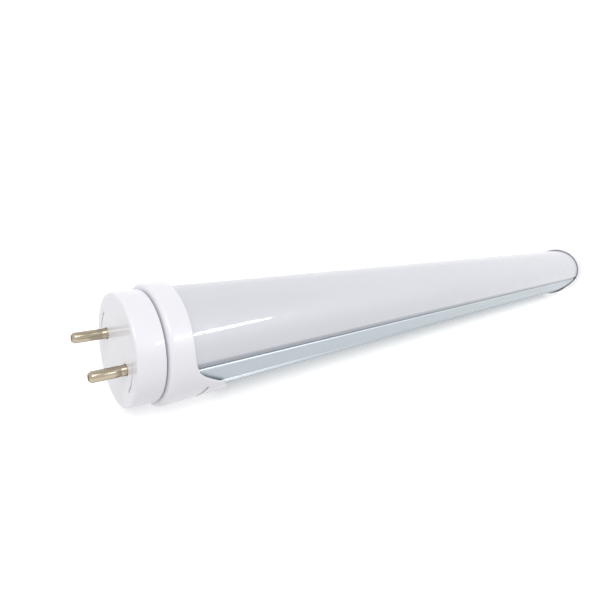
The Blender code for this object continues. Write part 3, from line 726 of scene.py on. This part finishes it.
def make_led(node):
    """One LED: white package with a sloping cup, domed phosphor and two solder pads."""
    low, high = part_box(node)
    middle = (low + high) / 2.0
    bm = bmesh.new()
    add_box(bm, low, high, 0)
    top = max(bm.faces, key=lambda face: face.calc_center_median().z)
    bmesh.ops.inset_region(bm, faces=[top], thickness=0.25 * MM)
    bmesh.ops.inset_region(bm, faces=[top], thickness=0.25 * MM, depth=-0.3 * MM)
    bmesh.ops.bevel(
        bm, geom=[edge for edge in bm.edges if abs(edge.verts[0].co.z - edge.verts[1].co.z) > 0.7 * MM],
        offset=0.12 * MM, segments=2, affect="EDGES",
    )
    dome = bmesh.ops.create_uvsphere(bm, u_segments=24, v_segments=10, radius=1.0)
    half = (high - low) / 2.0
    size = (half.x - 0.42 * MM, half.y - 0.42 * MM, 0.22 * MM)
    place = Matrix.Translation((middle.x, middle.y, high.z - 0.28 * MM)) @ Matrix.Diagonal((*size, 1.0))
    bmesh.ops.transform(bm, matrix=place, verts=dome["verts"])
    for face in {face for vert in dome["verts"] for face in vert.link_faces}:
        face.material_index = 1
    for end in (-1.0, 1.0):
        centre = middle.y + end * (half.y - 0.2 * MM)
        pad_low = (low.x + 0.3 * MM, centre - 0.35 * MM, low.z - 0.09 * MM)
        pad_high = (high.x - 0.3 * MM, centre + 0.35 * MM, low.z + 0.12 * MM)
        add_box(bm, pad_low, pad_high, 2)
    led = finish_mesh(f"{node}_package", bm, [LED_PACKAGE, PHOSPHOR, SOLDER])
    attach(led, "tube")
    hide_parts(node)


def paint(node, finish):
    """Give a CAD node that stays its own material."""
    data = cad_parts[node].data
    data.materials.clear()
    data.materials.append(finish)


def make_inside():
    """LEDs in detail, and a material for every CAD node that stays."""
    for node in sorted(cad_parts):
        if node.startswith("led_") and node[4:].isdigit():
            make_led(node)
        elif node.endswith("_clip") or "_cap_screw_" in node:
            paint(node, STEEL)
    paint("led_board", WHITE_BOARD)
    paint("driver_board", GREEN_BOARD)
    for node, finish in INNER_FINISHES.items():
        paint(node, finish)


# ---------------------------------------------------------------- stage, light, camera

def make_stage():
    """A round pale floor that curves up into a wall on every side."""
    radius, bend, height = 3.0, 0.8, 3.2
    profile = [(0.0, 0.0), (radius - bend, 0.0)]
    for index in range(1, 17):
        angle = math.pi / 2.0 * index / 16
        profile.append((radius - bend + bend * math.sin(angle), bend - bend * math.cos(angle)))
    profile.append((radius, height))
    steps = 96
    bm = bmesh.new()
    rows = [[bm.verts.new((0.0, 0.0, FLOOR))]]
    for out, up in profile[1:]:
        turns = [2.0 * math.pi * index / steps for index in range(steps)]
        rows.append([bm.verts.new((out * math.cos(t), out * math.sin(t), FLOOR + up)) for t in turns])
    for first, second in zip(rows, rows[1:]):
        for i in range(steps):
            j = (i + 1) % steps
            corners = [first[i % len(first)], second[i], second[j], first[j % len(first)]]
            bm.faces.new(list(dict.fromkeys(corners)))
    paper = Nodes("pale paper", (0.90, 0.90, 0.90), 0.75, Emission_Strength=0.30)
    paper.shader.inputs["Emission Color"].default_value = (1.0, 1.0, 1.0, 1.0)
    paper.vary_colour(paper.noise(3.0, 2.0), (0.90, 0.90, 0.90), (0.92, 0.92, 0.92))
    floor = finish_mesh("studio_floor", bm, [paper.material])
    floor.visible_diffuse = False


def area_light(name, place, target, power, size, size_y=None):
    """A soft elliptical light aimed at a point."""
    data = bpy.data.lights.new(name, "AREA")
    data.energy = power
    data.shape = "ELLIPSE"
    data.size = size
    data.size_y = size_y or size
    made = bpy.data.objects.new(name, data)
    bpy.context.scene.collection.objects.link(made)
    made.location = place
    made.rotation_euler = (Vector(target) - Vector(place)).to_track_quat("-Z", "Y").to_euler()
    return made


def make_lights():
    """Even white light, a large soft top light, and a small light for the streak on the diffuser."""
    world = bpy.data.worlds.new("studio")
    bpy.context.scene.world = world
    world.use_nodes = True
    background = world.node_tree.nodes["Background"]
    background.inputs["Color"].default_value = (1.0, 1.0, 1.0, 1.0)
    background.inputs["Strength"].default_value = 0.70
    overhead = bpy.data.lights.new("overhead_bank", "SUN")
    overhead.energy = 1.5
    overhead.angle = math.radians(40.0)
    bank = bpy.data.objects.new("overhead_bank", overhead)
    bank.rotation_euler = Vector((0.3, 0.35, -1.0)).to_track_quat("-Z", "Y").to_euler()
    bpy.context.scene.collection.objects.link(bank)
    streak = area_light("streak_light", (0.10, -0.305, 0.33), (-0.12, 0.0, 0.01), 0.75, 0.21, 0.036)
    streak.visible_diffuse = False


def make_camera():
    """A wide lens close to the near cap: a compromise, as the photograph is squeezed along the tube."""
    data = bpy.data.cameras.new("camera")
    data.lens = CAMERA_LENS
    data.sensor_width = 36.0
    data.clip_start = 0.005
    camera = bpy.data.objects.new("camera", data)
    bpy.context.scene.collection.objects.link(camera)
    ahead = Vector((
        math.sin(CAMERA_HEADING) * math.cos(CAMERA_TILT),
        math.cos(CAMERA_HEADING) * math.cos(CAMERA_TILT),
        -math.sin(CAMERA_TILT),
    ))
    level = ahead.cross(Vector((0.0, 0.0, 1.0))).normalized()
    upright = level.cross(ahead)
    right = level * math.cos(CAMERA_ROLL) + upright * math.sin(CAMERA_ROLL)
    up = upright * math.cos(CAMERA_ROLL) - level * math.sin(CAMERA_ROLL)
    turn = Matrix((right, up, -ahead)).transposed().to_4x4()
    camera.matrix_world = Matrix.Translation(Vector((NEAR_FACE, 0.0, 0.0)) + CAMERA_FROM_FACE) @ turn
    bpy.context.scene.camera = camera
    bpy.context.scene.view_settings.view_transform = "Standard"


make_camera()
make_heat_sink()
make_diffuser()
make_cap("near")
make_cap("far")
make_inside()
make_stage()
make_lights()
